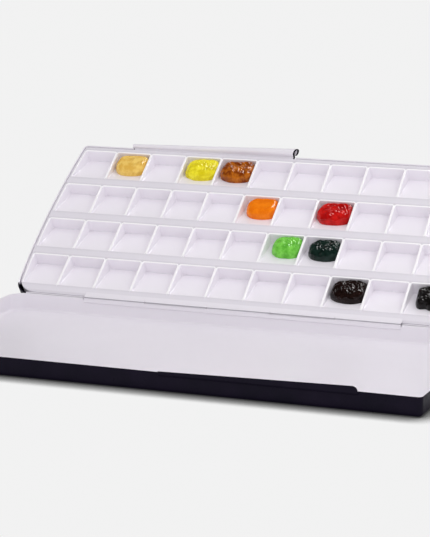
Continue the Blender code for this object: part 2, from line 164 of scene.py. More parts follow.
# A heap's sides steepen over the first of these distances, and its top rises over the second.
SHOULDER = 12.0
SLOPE = 14.0
FOLD_PITCH = 2.4
FOLD_CENTRE = (-3.0, -4.0)
HEAPS = {
    "paint_ochre": {"row": 4, "column": 2, "size": (22.6, 19.4), "fold": 0.10, "uneven": 0.05,
                    "dark": (0.74, 0.44, 0.08), "light": (0.90, 0.62, 0.16)},
    "paint_lemon": {"row": 4, "column": 4, "size": (22.6, 19.6), "fold": 0.22, "uneven": 0.06,
                    "dark": (0.70, 0.58, 0.01), "light": (0.92, 0.82, 0.04)},
    "paint_sienna": {"row": 4, "column": 5, "size": (23.2, 19.6), "fold": 0.26, "uneven": 0.07,
                     "dark": (0.20, 0.035, 0.002), "light": (0.50, 0.14, 0.010)},
    "paint_orange": {"row": 3, "column": 6, "size": (21.2, 18.2), "fold": 0.03, "uneven": 0.03,
                     "dark": (0.82, 0.17, 0.002), "light": (0.92, 0.23, 0.005)},
    "paint_red": {"row": 3, "column": 8, "size": (23.7, 19.2), "fold": 0.24, "uneven": 0.07,
                  "dark": (0.38, 0.003, 0.003), "light": (0.60, 0.010, 0.008)},
    "paint_light_green": {"row": 2, "column": 7, "size": (20.2, 17.6), "fold": 0.18, "uneven": 0.07,
                          "dark": (0.11, 0.44, 0.04), "light": (0.22, 0.66, 0.09)},
    "paint_dark_green": {"row": 2, "column": 8, "size": (20.8, 18.2), "fold": 0.28, "uneven": 0.06,
                         "dark": (0.002, 0.008, 0.006), "light": (0.008, 0.022, 0.017)},
    "paint_umber": {"row": 1, "column": 9, "size": (23.0, 19.4), "fold": 0.28, "uneven": 0.06,
                    "dark": (0.006, 0.002, 0.0015), "light": (0.014, 0.006, 0.005)},
    "paint_black": {"row": 1, "column": 11, "size": (19.2, 19.4), "fold": 0.40, "uneven": 0.34,
                    "dark": (0.004, 0.003, 0.003), "light": (0.010, 0.008, 0.008)},
}

# ---------------------------------------------------------------- colours
ENAMEL_WHITES = ((0.3, (0.79, 0.758, 0.815)), (0.7, (0.81, 0.778, 0.835)))
ENAMEL_BLACKS = ((0.3, (0.005, 0.004, 0.010)), (0.75, (0.009, 0.006, 0.016)))
# The grey of the painted shadow line along the hinge barrel.
GAP_SHADOW_GREY = (0.36, 0.34, 0.38)
WELL_WHITES = ((0.3, (0.87, 0.836, 0.893)), (0.7, (0.89, 0.856, 0.913)))
# Painted highlight: the whites of the bright line along the tops of the wells' walls and dividers.
EDGE_HIGHLIGHT_WHITES = ((0.3, (0.965, 0.945, 0.970)), (0.7, (0.98, 0.96, 0.985)))
LEDGE_MOTTLE = ((0.3, (0.97, 0.97, 0.97)), (0.7, (1.0, 1.0, 1.0)))
# Painted shade on the ledges: how light a ledge is, from a well's far wall (0) towards the next row; one is a
# whole row's pitch. The dips at both ends are painted shade along the ledge's edges.
LEDGE_PAINTED_SHADE = ((0.0, 0.67), (0.035, 0.69), (0.07, 0.765), (0.15, 0.755), (0.205, 0.715), (0.24, 0.735))
STEEL_GREYS = ((0.3, (0.42, 0.42, 0.44)), (0.7, (0.66, 0.66, 0.68)))
# The floor's painted contact shadow: how light the floor is where little (0) or all (1) of the space over it
# is open.
FLOOR_SHADE = ((0.30, 0.05), (0.48, 0.12), (0.58, 0.17), (0.67, 0.25), (0.77, 0.36), (0.85, 0.50),
               (0.90, 0.63), (0.93, 0.76), (0.95, 0.83), (0.97, 0.886))

# ---------------------------------------------------------------- light and camera: metres, degrees, watts
WORLD_LEVEL = 0.76
WORLD_COLOUR = (1.0, 0.995, 1.0, 1.0)
# The panel seen in reflections brightens between these two cosines of the angle from its middle.
PANEL_DIRECTION = (0.20, 0.45, 0.87)
PANEL_SPREAD = (0.966, 0.988)
PANEL_LEVELS = (0.06, 22.0)
SOFTBOXES = (("softbox_right", 1.7, (0.45, -0.25, 0.6)), ("softbox_front", 1.4, (0.0, -1.1, 0.4)))
SOFTBOX_SIZE = 0.6
SOFTBOX_AIM = (0.0, 0.05, 0.0)
FLOOR_SIZE = 12.0
FLOOR_LEVEL = -0.0001
SHADOW_REACH = 0.012
CAMERA_PLACE = (0.3979, -1.0669, 0.3327)
CAMERA_YAW, CAMERA_PITCH, CAMERA_ROLL = 19.989, 13.747, -0.466
CAMERA_LENS = 136.5
CAMERA_SENSOR = 36.0


# ================================================================ mesh helpers
def clamp(share):
    return max(0.0, min(1.0, share))


def new_mesh(name, mats):
    mesh = bpy.data.meshes.new(name)
    for mat in mats:
        mesh.materials.append(mat)
    return mesh


def show(mesh, sharp_deg):
    """Shade a mesh smooth up to an angle and put it in the scene as an object."""
    mesh.shade_smooth()
    mesh.set_sharp_from_angle(angle=math.radians(sharp_deg))
    obj = bpy.data.objects.new(mesh.name, mesh)
    bpy.context.scene.collection.objects.link(obj)
    return obj


def make_object(name, verts, faces, mats, face_mats=None, place=NEAR, sharp_deg=35):
    """Make a mesh object from millimetre vertices in a tray's own axes."""
    mesh = new_mesh(name, mats)
    mesh.from_pydata([tuple((place @ Vector(v)) * MM) for v in verts], [], faces)
    if face_mats:
        mesh.polygons.foreach_set("material_index", face_mats)
    mesh.validate()
    return show(mesh, sharp_deg)


def arc(centre, radius, start_deg, end_deg, steps):
    points = []
    for i in range(steps + 1):
        angle = math.radians(start_deg + (end_deg - start_deg) * i / steps)
        points.append((centre[0] + radius * math.cos(angle), centre[1] + radius * math.sin(angle)))
    return points


def ribbon(path, thickness):
    """Return the outline of a sheet with a rounded far edge, and how many points its first side has."""
    left, right = [], []
    for i, (a, b) in enumerate(path):
        here = Vector((a, b))
        into = (here - Vector(path[i - 1])).normalized() if i else (Vector(path[1]) - here).normalized()
        out = (Vector(path[i + 1]) - here).normalized() if i < len(path) - 1 else into
        normal = Vector((-into.y - out.y, into.x + out.x)).normalized()
        reach = thickness / 2 / max(normal.dot(Vector((-into.y, into.x))), MITRE_LIMIT)
        left.append(tuple(here + normal * reach))
        right.append(tuple(here - normal * reach))
    tip, forward = Vector(path[-1]), into
    side = Vector((-forward.y, forward.x))
    cap = []
    for deg in (60, 30, 0, -30, -60):
        angle = math.radians(deg)
        cap.append(tuple(tip + (forward * math.cos(angle) + side * math.sin(angle)) * thickness / 2))
    return left + cap + right[::-1], len(left)


def skin(rings):
    """Return vertices and faces: quads between successive rings of equal length, then the two end caps."""
    count = len(rings[0])
    verts = [point for ring in rings for point in ring]
    faces = []
    for r in range(len(rings) - 1):
        low, high = r * count, (r + 1) * count
        for i in range(count):
            j = (i + 1) % count
            faces.append((low + i, low + j, high + j, high + i))
    faces.append(tuple(reversed(range(count))))
    faces.append(tuple(range((len(rings) - 1) * count, len(rings) * count)))
    return verts, faces


# ================================================================ node helpers
class Nodes:
    """A short way to write the node tree of a new material or world."""

    def __init__(self, owner):
        self.owner = owner
        owner.use_nodes = True
        self.tree = owner.node_tree

    def add(self, kind, **values):
        node = self.tree.nodes.new(kind)
        for key, value in values.items():
            if key in node.inputs:
                node.inputs[key].default_value = value
            else:
                setattr(node, key, value)
        return node

    def link(self, source, target):
        self.tree.links.new(source, target)

    def feed(self, name, value):
        """Give the material's shader a number or another node's output."""
        socket = self.tree.nodes["Principled BSDF"].inputs[name]
        if isinstance(value, float):
            socket.default_value = value
        else:
            self.link(value, socket)

    def coords(self):
        return self.add("ShaderNodeTexCoord").outputs["Object"]

    def noise(self, scale, detail=3.0, rough=0.5, vector=None):
        node = self.add("ShaderNodeTexNoise", Scale=scale, Detail=detail, Roughness=rough)
        self.link(vector or self.coords(), node.inputs["Vector"])
        return node.outputs["Fac"]

    def ramp(self, source, stops):
        node = self.add("ShaderNodeValToRGB")
        while len(node.color_ramp.elements) < len(stops):
            node.color_ramp.elements.new(0.5)
        for element, (place, colour) in zip(node.color_ramp.elements, stops):
            element.position = place
            element.color = (*colour, 1.0)
        self.link(source, node.inputs["Fac"])
        return node.outputs["Color"]

    def span(self, source, low, high, out_low, out_high, **values):
        node = self.add("ShaderNodeMapRange", **values)
        for key, value in (("From Min", low), ("From Max", high), ("To Min", out_low), ("To Max", out_high)):
            node.inputs[key].default_value = value
        self.link(source, node.inputs["Value"])
        return node.outputs["Result"]

    def mix(self, fac, a, b, blend_type="MIX"):
        """Mix two colours, each a node's output or three numbers."""
        node = self.add("ShaderNodeMix", data_type="RGBA", blend_type=blend_type)
        for source, target in zip((fac, a, b), (node.inputs[0], node.inputs[6], node.inputs[7])):
            if isinstance(source, float):
                target.default_value = source
            elif isinstance(source, tuple):
                target.default_value = (*source, 1.0)
            else:
                self.link(source, target)
        return node.outputs[2]

    def dot(self, source, direction):
        node = self.add("ShaderNodeVectorMath", operation="DOT_PRODUCT")
        self.link(source, node.inputs[0])
        node.inputs[1].default_value = direction
        return node.outputs["Value"]

    def work(self, operation, source, number=0.0):
        node = self.add("ShaderNodeMath", operation=operation)
        self.link(source, node.inputs[0])
        node.inputs[1].default_value = number
        return node.outputs["Value"]

    def bump(self, height, distance, strength):
        node = self.add("ShaderNodeBump", Strength=strength, Distance=distance)
        self.link(height, node.inputs["Height"])
        return node.outputs["Normal"]


def new_material(name):
    return Nodes(bpy.data.materials.new(name))


# ================================================================ materials
def white_enamel():
    """Baked white enamel: faint lilac tint, slight unevenness of thickness and gloss."""
    n = new_material("white_enamel")
    n.feed("Base Color", n.ramp(n.noise(12.0, 2.0), ENAMEL_WHITES))
    n.feed("Roughness", n.span(n.noise(40.0, 2.0), 0.3, 0.7, 0.30, 0.38))
    n.feed("Normal", n.bump(n.noise(60.0, 2.0), 0.00003, 0.3))
    return n.owner


def barrel_enamel_with_gap_shadow(name, leaf):
    """White enamel on a hinge leaf, with a painted shadow: a thin dark line along the barrel a little above
    its axis, where the gap in front of the barrel lies in shade.
    """
    n = new_material(name)
    up = leaf.matrix_world[2]
    # Painted shadow: a thin band along the barrel is mixed towards grey.
    above_gap_shadow = n.work("SUBTRACT", n.dot(n.coords(), up.xyz), (AXIS.z + GAP_SHADOW_HEIGHT) * MM - up.w)
    in_gap_shadow = n.span(n.work("ABSOLUTE", above_gap_shadow), GAP_SHADOW_FADE[0] * MM, GAP_SHADOW_FADE[1] * MM, 1.0, 0.0)
    n.feed("Base Color", n.mix(in_gap_shadow, n.ramp(n.noise(12.0, 2.0), ENAMEL_WHITES), GAP_SHADOW_GREY))
    n.feed("Roughness", n.span(n.noise(40.0, 2.0), 0.3, 0.7, 0.30, 0.38))
    return n.owner


def black_enamel():
    """Black enamel with a violet cast, gently uneven so that highlights wander."""
    n = new_material("black_enamel")
    n.feed("Base Color", n.ramp(n.noise(60.0, 4.0), ENAMEL_BLACKS))
    n.feed("Specular IOR Level", 0.07)
    n.feed("Roughness", n.span(n.noise(150.0, 3.0), 0.3, 0.7, 0.24, 0.42))
    n.feed("Normal", n.bump(n.noise(420.0, 2.0), 0.00005, 0.6))
    return n.owner


def white_plastic(name, whites):
    """Moulded white plastic, slightly uneven in tone and gloss."""
    n = new_material(name)
    n.feed("Base Color", n.ramp(n.noise(25.0, 3.0), whites))
    n.feed("Roughness", n.span(n.noise(200.0, 2.0), 0.3, 0.7, 0.30, 0.40))
    n.feed("Normal", n.bump(n.noise(600.0, 2.0), 0.00002, 0.4))
    return n.owner


def ledge_plastic_with_painted_shade():
    """The insert's ledges, with painted shade: painted darker than the wells, and darker still along both of
    their edges.
    """
    n = new_material("white_plastic_ledge_painted_shade")
    # Painted shade, in bands that repeat with every row up the slope.
    up_slope = Vector((0.0, math.cos(TILT), math.sin(TILT)))
    first = (up_slope.dot(AXIS) + FIRST_WALL) * MM
    rows = n.span(n.dot(n.coords(), up_slope), first, first + ROW_PITCH * MM, ROWS, ROWS + 1, clamp=False)
    stops = tuple((place, (tone, tone - 0.032, tone + 0.028)) for place, tone in LEDGE_PAINTED_SHADE)
    bands = n.ramp(n.work("FRACT", rows), stops)
    n.feed("Base Color", n.mix(1.0, bands, n.ramp(n.noise(25.0, 3.0), LEDGE_MOTTLE), "MULTIPLY"))
    n.feed("Roughness", n.span(n.noise(200.0, 2.0), 0.3, 0.7, 0.30, 0.40))
    return n.owner


def steel_wire():
    """Drawn steel wire: fine lines along its length."""
    n = new_material("steel_wire")
    stretch = n.add("ShaderNodeMapping", Scale=(8.0, 900.0, 900.0))
    n.link(n.coords(), stretch.inputs["Vector"])
    lines = n.noise(1.0, 4.0, vector=stretch.outputs["Vector"])
    n.feed("Base Color", n.ramp(lines, STEEL_GREYS))
    n.feed("Metallic", 1.0)
    n.feed("Roughness", n.span(lines, 0.3, 0.7, 0.22, 0.4))
    return n.owner


def paint(name, dark, light):
    """Wet tube paint: streaks of two tones of one pigment under a clear gloss."""
    n = new_material(name)
    n.feed("Base Color", n.ramp(n.noise(220.0, 5.0, 0.6), ((0.40, dark), (0.60, light))))
    n.feed("Roughness", 0.11)
    n.feed("Specular IOR Level", 0.24)
    n.feed("Normal", n.bump(n.noise(700.0, 3.0), 0.00012, 0.5))
    return n.owner


# ================================================================ pressed shells
def side_points(low, high, cuts):
    """Return positions along one side: evenly spread, with close pairs at each cut."""
    spots = {low + (high - low) * i / SIDE_STEPS for i in range(1, SIDE_STEPS)}
    for cut in cuts:
        spots |= {cut - CUT_STEP, cut + CUT_STEP}
    return sorted(spot for spot in spots if low < spot < high)


def end_swell(y, hinge_side):
    """Return how far an end lies beyond its hinge corner: it bows out and tapers to the free rim."""
    t = 2 * y / TRAY_DEPTH
    return END_BOW * max(1 - t ** 2, 0.0) - END_TAPER * (1 - hinge_side * t) / 2


def plan_outline(hinge_side, cuts):
    """Return the tray's plan as (centre x, centre y, unit x, unit y, corner radius) steps."""
    steps = []
    for quarter, (sx, sy) in enumerate(((1, 1), (-1, 1), (-1, -1), (1, -1))):
        corner = HINGE_CORNER if sy == hinge_side else FREE_CORNER
        other_corner = HINGE_CORNER + FREE_CORNER - corner
        x_end, y_end = TRAY_LENGTH / 2 - corner, sy * (TRAY_DEPTH / 2 - corner)
        for i in range(CORNER_STEPS + 1):
            angle = math.radians(90 * (quarter + i / CORNER_STEPS))
            steps.append((sx * x_end, y_end, math.cos(angle), math.sin(angle), corner))
        if sx == sy:
            spots = side_points(-x_end, x_end, cuts)
            steps += [(x, y_end, 0.0, float(sy), corner) for x in (reversed(spots) if sy > 0 else spots)]
        else:
            y_next = -sy * (TRAY_DEPTH / 2 - other_corner)
            for i in range(1, SIDE_STEPS):
                y = y_end + (y_next - y_end) * i / SIDE_STEPS
                steps.append((sx * x_end, y, float(sx), 0.0, corner))
    return steps


def shell_profile(sheet, bend):
    """Return a tray wall's (inset, height, share of the rim's drop) steps, and how many are below the rim."""
    quarter_turn = [math.pi / 2 * i / BEND_STEPS for i in range(BEND_STEPS + 1)]
    outer = bend + sheet
    profile = [(outer * (1 - math.sin(angle)), outer * (1 - math.cos(angle)), 0.0) for angle in quarter_turn]
    profile.append((0.0, TRAY_HEIGHT - RIM_BAND, 0.0))
    below_rim = len(profile)
    half = sheet / 2
    profile += [(half - x, TRAY_HEIGHT - half + z, 1.0) for x, z in arc((0.0, 0.0), half, 0, 180, 6)]
    profile.append((sheet, TRAY_HEIGHT - RIM_BAND, 0.0))
    profile += [(sheet + bend * (1 - math.sin(angle)), sheet + bend * (1 - math.cos(angle)), 0.0)
                for angle in reversed(quarter_turn)]
    return profile, below_rim


def shell_rings(profile, outline, drop, hinge_side):
    rings = []
    for inset, z, follow in profile:
        ring = []
        for cx, cy, ux, uy, corner in outline:
            x, y = cx + ux * (corner - inset), cy + uy * (corner - inset)
            share = min(abs(x) / (TRAY_LENGTH / 2 - HINGE_CORNER), 1)
            swell = math.copysign(share, x) * end_swell(y, hinge_side)
            ring.append((x + swell, y, z - follow * drop(cx, uy)))
        rings.append(ring)
    return rings


def rim_drop(hinge_side, lip_span):
    """Return a function that says how far the rim is lowered at a place on the plan."""
    notch_half = HINGE_LENGTH / 2 + NOTCH_END_GAP

    def drop(x, side):
        if side * hinge_side > SQUARE_ON and abs(x) < notch_half:
            return NOTCH_DEPTH
        if side * hinge_side < -SQUARE_ON and lip_span[0] < x < lip_span[1]:
            return LIP_CUT
        return 0.0

    return drop


def is_white(band, step, hinge_side, lip_span):
    """Say whether a face of a shell is white, from its band and its step on the plan."""
    x, side = step[0], step[3] * hinge_side
    # On the hinge side the band outside, below the rim, is white as well: painted light that lightens the
    # dark line in the gap between the two rims, where the enamel outside is really black.
    if side > SQUARE_ON:
        return band >= OUTSIDE_BAND
    if hinge_side < 0 and side > CORNER_ON:
        return False
    if side < -SQUARE_ON and lip_span[0] < x < lip_span[1]:
        return band >= RIM_INNER
    return band >= RIM_CROWN if hinge_side > 0 else RIM_OUTER <= band <= INSIDE_BAND


def make_shell(name, node, body, sheet, bend, hinge_side, lip_span, mats, place):
    notch_half = HINGE_LENGTH / 2 + NOTCH_END_GAP
    outline = plan_outline(hinge_side, (-notch_half, notch_half, *lip_span))
    profile, below_rim = shell_profile(sheet, bend)
    verts, faces = skin(shell_rings(profile, outline, rim_drop(hinge_side, lip_span), hinge_side))
    count = len(outline)
    face_mats = [int(is_white(i // count - below_rim, outline[i % count], hinge_side, lip_span))
                 for i in range(len(faces) - 2)] + [0, 1]
    obj = make_object(name, verts, faces, mats, face_mats, place, sharp_deg=50)
    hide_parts(node)
    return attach(obj, body)


def make_mixing_lip(mats):
    """The mixing tray's lip: it steps outwards, stands up, and ends in a rounded corner."""
    front = -TRAY_DEPTH / 2
    mid_wall = front + MIXING_SHEET / 2
    mid_lip = front - LIP_CLEARANCE - LIP_SHEET / 2
    low, high = LIP_SPAN
    arc_start = high - LIP_END_RADIUS
    stations = [low + (arc_start - low) * i / LIP_STEPS for i in range(LIP_STEPS)]
    stations += [x for x, _ in arc((arc_start, 0), LIP_END_RADIUS, 90, 0, LIP_STEPS)]
    rings = []
    for x in stations:
        height = LIP_HEIGHTS[0] + (LIP_HEIGHTS[1] - LIP_HEIGHTS[0]) * (x - low) / (high - low)
        if x > arc_start:
            height += math.sqrt(max(LIP_END_RADIUS ** 2 - (x - arc_start) ** 2, 0.0)) - LIP_END_RADIUS
        path = [(mid_wall + (mid_lip - mid_wall) * share, z) for share, z in LIP_STEP]
        path.append((mid_lip, max(height, 0.0) - LIP_SHEET / 2 + LIP_EDGE_RISE))
        outline, first = ribbon(path, LIP_SHEET)
        rings.append([(x, y, TRAY_HEIGHT + z) for y, z in outline])
    verts, faces = skin(rings)
    count = len(outline)
    face_mats = [int(i % count > first) for i in range(len(faces) - 2)] + [0, 0]
    obj = make_object("mixing_lip", verts, faces, mats, face_mats)
    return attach(obj, "mixing_half")


def make_rolled_lip(mats):
    """The well tray's lip, rolled outwards into a tube that widens along it to a slanted, open end."""
    low, high = ROLL_SPAN
    shares = [i / ROLL_STEPS for i in range(ROLL_STEPS)] + [1 - ROLL_EDGE / (high - low), 1.0]
    wall = -WELL_SHEET / 2
    rings = []
    for i, share in enumerate(shares):
        x = low + (high - low) * share
        radius = ROLL_RADII[0] + (ROLL_RADII[1] - ROLL_RADII[0]) * share
        height = ROLL_HEIGHTS[0] + (ROLL_HEIGHTS[1] - ROLL_HEIGHTS[0]) * share
        centre = (LIP_CLEARANCE + radius, height)
        path = [(wall, -LIP_ROOT), (wall, ROLL_STEP[0]), (LIP_CLEARANCE + ROLL_SHEET / 2, ROLL_STEP[1])]
        path += arc(centre, radius - ROLL_SHEET / 2, *ROLL_TURN, ROLL_TURN_STEPS)
        outline, first = ribbon(path, ROLL_SHEET)
        slant = ROLL_SLANT if i >= ROLL_STEPS else 0.0
        rings.append([(x + slant * (y - centre[0]), TRAY_DEPTH + WALL_TO_AXIS + y, z - RIM_GAP / 2)
                      for y, z in outline])
    verts, faces = skin(rings)
    count = len(outline)
    last = ROLL_STEPS - 1
    face_mats = [int(i // count == last or (i // count < last and i % count <= first))
                 for i in range(len(faces) - 2)] + [0, 0]
    obj = make_object("rolled_lip", verts, faces, mats, face_mats, FAR)
    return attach(obj, "well_half")


# ================================================================ moulded insert
def insert_half():
    """Return half the insert's length at the hinge, before its ends are bowed out."""
    return TRAY_LENGTH / 2 - WELL_SHEET - INSERT_CLEARANCE


def insert_end():
    """Return how far from the hinge the insert's free edge is."""
    return WALL_TO_AXIS + TRAY_DEPTH - WELL_SHEET - INSERT_CLEARANCE


def ramp_depth(s, wall):
    """Return how deep a well's floor lies below its mouth at distance s from the hinge."""
    return WELL_DEPTH + (RAMP_STEP - WELL_DEPTH) * clamp((wall - s) / RAMP_RUN)


def mouth_outline(mouth):
    """Return a well's mouth as (centre x, centre s, unit x, unit s) steps at a corner radius' reach."""
    x0, s0, x1, s1 = mouth
    r = MOUTH_RADIUS
    centres = ((x1 - r, s1 - r), (x0 + r, s1 - r), (x0 + r, s0 + r), (x1 - r, s0 + r))
    steps = []
    for quarter, (cx, cs) in enumerate(centres):
        for i in range(MOUTH_STEPS + 1):
            angle = math.radians(90 * (quarter + i / MOUTH_STEPS))
            steps.append((cx, cs, math.cos(angle), math.sin(angle)))
        next_x, next_s = centres[(quarter + 1) % 4]
        for i in range(1, MOUTH_SIDE_STEPS):
            share = i / MOUTH_SIDE_STEPS
            steps.append((cx + (next_x - cx) * share, cs + (next_s - cs) * share, *steps[-1][2:]))
    return steps


def on_cell_edge(step, cell, mouth):
    """Return the place on the cell's square edge that a step of the mouth faces."""
    cx, cs, ux, us = step
    x = cell[0] if cx < (mouth[0] + mouth[2]) / 2 else cell[2]
    s = cell[1] if cs < (mouth[1] + mouth[3]) / 2 else cell[3]
    turn = math.atan2(abs(us), abs(ux)) / math.radians(45) - 1
    return x + (cx - x) * max(turn, 0.0), s + (cs - s) * max(-turn, 0.0)


def cell_rings(cell, mouth, wall):
    """Return rings for one well: the cell's edge on the top face, then down the well's wall to its floor."""
    outline = mouth_outline(mouth)
    r = MOUTH_RADIUS
    rings = [[(*on_cell_edge(step, cell, mouth), INSERT_TOP) for step in outline]]
    rings.append([(cx + ux * (r + EDGE_BAND[0]), cs + us * (r + EDGE_BAND[1]), INSERT_TOP)
                  for cx, cs, ux, us in outline])
    quarter_turn = [math.pi / 2 * i / ROUND_STEPS for i in range(ROUND_STEPS + 1)]
    for angle in quarter_turn:
        reach, down = r - EDGE_ROUND * math.sin(angle), EDGE_ROUND * (1 - math.cos(angle))
        rings.append([(cx + ux * reach, cs + us * reach, INSERT_TOP - down) for cx, cs, ux, us in outline])
    for angle in quarter_turn:
        ring = []
        for cx, cs, ux, us in outline:
            depth = ramp_depth(cs + us * r, wall)
            foot = min(FOOT_ROUND, FOOT_SHARE * depth)
            reach = r - EDGE_ROUND - DRAFT * depth / WELL_DEPTH - foot * (1 - math.cos(angle))
            s = cs + us * reach
            ring.append((cx + ux * reach, s, INSERT_TOP - ramp_depth(s, wall) + foot * (1 - math.sin(angle))))
        rings.append(ring)
    return rings


def insert_swell(x, s):
    """Return how far the insert's end on x's side is moved at distance s from the hinge."""
    return math.copysign(1, x) * end_swell(s - WALL_TO_AXIS - TRAY_DEPTH / 2, -1)


def follow_end(x, s):
    """Return x moved so that the end wells' outer walls follow the bowed ends."""
    inner, outer = (COLUMNS / 2 - 1) * COLUMN_PITCH + DIVIDER / 2, insert_half() - BORDER
    return x + clamp((abs(x) - inner) / (outer - inner)) * insert_swell(x, s)


def on_insert_edge(x, s):
    """Return where a point on a square cell's edge lies on the insert with its rounded, bowed outline."""
    low, high = INSERT_START + EDGE_ROUND, insert_end() - EDGE_ROUND
    near = s < (low + high) / 2
    r = INSERT_HINGE_CORNER if near else INSERT_FREE_CORNER
    cx, cs = math.copysign(insert_half() - EDGE_ROUND - r, x), low + r if near else high - r
    if abs(x) > abs(cx) and (s < cs if near else s > cs):
        out = Vector((x - cx, s - cs)).normalized()
        return cx + out.x * r + insert_swell(x, s), cs + out.y * r
    return follow_end(x, s), s


def paint_cell_face(face, band, wall):
    """Give a face of a cell its material: plastic (0), ledge with painted shade (1) or bright edge with a
    painted highlight (2).
    """
    middle = face.calc_center_median()
    ramp_end = wall - RAMP_RUN
    if band == 0:
        on_end = abs(middle.x) > (COLUMNS - 1) / 2 * COLUMN_PITCH
        face.material_index = 1 if on_end or not ramp_end < middle.y < wall else 2
    elif band < EDGE_BANDS:
        face.material_index = 2 if middle.y > ramp_end + EDGE_ROUND else 1


def add_cell(bm, row, column):
    """Add one well with its share of the top face around it."""
    wall = FIRST_WALL + ROW_PITCH * row
    half_ledge = (ROW_PITCH - RAMP_RUN) / 2
    s_low = INSERT_START + EDGE_ROUND if row == 0 else wall - ROW_PITCH + half_ledge
    s_high = insert_end() - EDGE_ROUND if row == ROWS - 1 else wall + half_ledge
    x_low = (column - COLUMNS / 2) * COLUMN_PITCH
    x_high = x_low + COLUMN_PITCH
    mouth_low, mouth_high = x_low + DIVIDER / 2, x_high - DIVIDER / 2
    if column == 0:
        x_low, mouth_low = EDGE_ROUND - insert_half(), BORDER - insert_half()
    if column == COLUMNS - 1:
        x_high, mouth_high = insert_half() - EDGE_ROUND, insert_half() - BORDER
    rings = cell_rings((x_low, s_low, x_high, s_high), (mouth_low, wall - RAMP_RUN, mouth_high, wall), wall)
    moved = [[(*on_insert_edge(x, s), z) for x, s, z in rings[0]]]
    moved += [[(follow_end(x, s), s, z) for x, s, z in ring] for ring in rings[1:]]
    verts, faces = skin(moved)
    made = [bm.verts.new(v) for v in verts]
    *sides, _open_top, floor = faces
    for i, face in enumerate([*sides, floor]):
        paint_cell_face(bm.faces.new([made[k] for k in face]), i // len(moved[0]), wall)


def insert_mesh():
    bm = bmesh.new()
    for row in range(ROWS):
        for column in range(COLUMNS):
            add_cell(bm, row, column)
    bmesh.ops.remove_doubles(bm, verts=bm.verts, dist=MERGE_GAP)
    add_skirt(bm)
    bmesh.ops.recalc_face_normals(bm, faces=bm.faces)
    return bm


def way_out(vert):
    """Return the level direction that leads out of the insert at a vertex of its outer edge."""
    centre = Vector((0.0, (INSERT_START + insert_end()) / 2, 0.0))
    total = Vector()
    for edge in vert.link_edges:
        if edge.is_boundary:
            along = edge.other_vert(vert).co - vert.co
            side = Vector((along.y, -along.x, 0.0)).normalized()
            total += side * math.copysign(1, side.dot(vert.co + along / 2 - centre))
    return total.normalized()


def add_skirt(bm):
    """Round the insert's outer edge over and carry it down to a flat underside."""
    edges = [edge for edge in bm.edges if edge.is_boundary]
    away = {vert: way_out(vert) for edge in edges for vert in edge.verts}
    for out, down in (*SKIRT_MOVES, (0.0, None)):
        made = bmesh.ops.extrude_edge_only(bm, edges=edges)["geom"]
        fresh = {}
        for vert in (item for item in made if isinstance(item, bmesh.types.BMVert)):
            above = next(edge.other_vert(vert) for edge in vert.link_edges if edge.other_vert(vert) in away)
            fresh[vert] = away[above]
            vert.co += away[above] * out
            vert.co.z = INSERT_LOW if down is None else vert.co.z - down
        away = fresh
        edges = [item for item in made if isinstance(item, bmesh.types.BMEdge) and item.is_boundary]
    bmesh.ops.contextual_create(bm, geom=edges)


def make_insert(mats):
    bm = insert_mesh()
    bm.transform(Matrix.Scale(MM, 4) @ FAR)
    mesh = new_mesh("moulded_insert", mats)
    bm.to_mesh(mesh)
    bm.free()
    obj = show(mesh, sharp_deg=40)
    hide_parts("well_insert")
    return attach(obj, "well_half")


# ================================================================ paint heaps
def heap_height(u, v, rho, seed, fold):
    """Return a heap's height: a full, flat-topped dome with curved folds left by the squeezed tube."""
    # The sides towards the well's far and right walls are steeper, and the top falls towards the hinge.
    steep = 3.6 + 10.0 * clamp(0.15 + v / SHOULDER + max(u, 0.0) / SHOULDER)
    dome = HEAP_HEIGHT * (1 - rho ** steep) ** 0.5 * (0.82 + 0.18 * clamp(0.5 + v / SLOPE))
    # The folds are rings around a place off the heap's centre, warped, and strongest at the upper right.
    warp = noise.noise(Vector((u * 0.24, v * 0.24, seed * 7.3)))
    reach = (Vector((u, v)) - Vector(FOLD_CENTRE)).length
    folds = math.sin(2 * math.pi * reach / FOLD_PITCH + 4.5 * warp + seed)
    folds *= 0.25 + 0.75 * clamp(0.35 + u / SHOULDER + v / SLOPE)
    lumps = noise.noise(Vector((u * 0.24, v * 0.24, seed * 3.1 + 9.0)))
    fine = noise.noise(Vector((u * 0.9, v * 0.9, seed * 5.7 + 4.0)))
    fade = min(1.0, (1 - rho) * 6) ** 0.5
    return dome + fade * (fold * folds + (1.8 * fold + 0.25) * lumps + 1.3 * fold * fine)


def heap_outline(angle, seed, uneven):
    """Return the outline's reach: a rounded square, squarest at its upper right, and uneven."""
    c, s = math.cos(angle), math.sin(angle)
    power = 2.5 + 2.5 * max(0.0, math.cos(angle - math.radians(40))) ** 2
    reach = (abs(c) ** power + abs(s) ** power) ** (-1 / power)
    reach *= 1 - 0.07 * math.exp(-((angle - math.radians(225)) / 0.45) ** 2)
    reach *= 1 + uneven * noise.noise(Vector((c * 1.7, s * 1.7, seed * 11.0))) * min(1.0, 1.15 - c)
    return min(reach, 1 / max(abs(c), abs(s), 0.01))


def heap_place(look, slope):
    """Return where a heap sits: on its well's floor, against the far and right walls, square to the floor."""
    width, length = look["size"]
    wall = FIRST_WALL + ROW_PITCH * (look["row"] - 1)
    right = (look["column"] - COLUMNS / 2) * COLUMN_PITCH - DIVIDER / 2
    along = length / 2 + HEAP_WALL_GAP / math.cos(slope)
    foot = Vector((right - HEAP_GAP - width / 2, wall - along * math.cos(slope),
                   INSERT_TOP - WELL_DEPTH + along * math.sin(slope)))
    return FAR @ Matrix.Translation(foot) @ Matrix.Rotation(-slope, 4, "X")


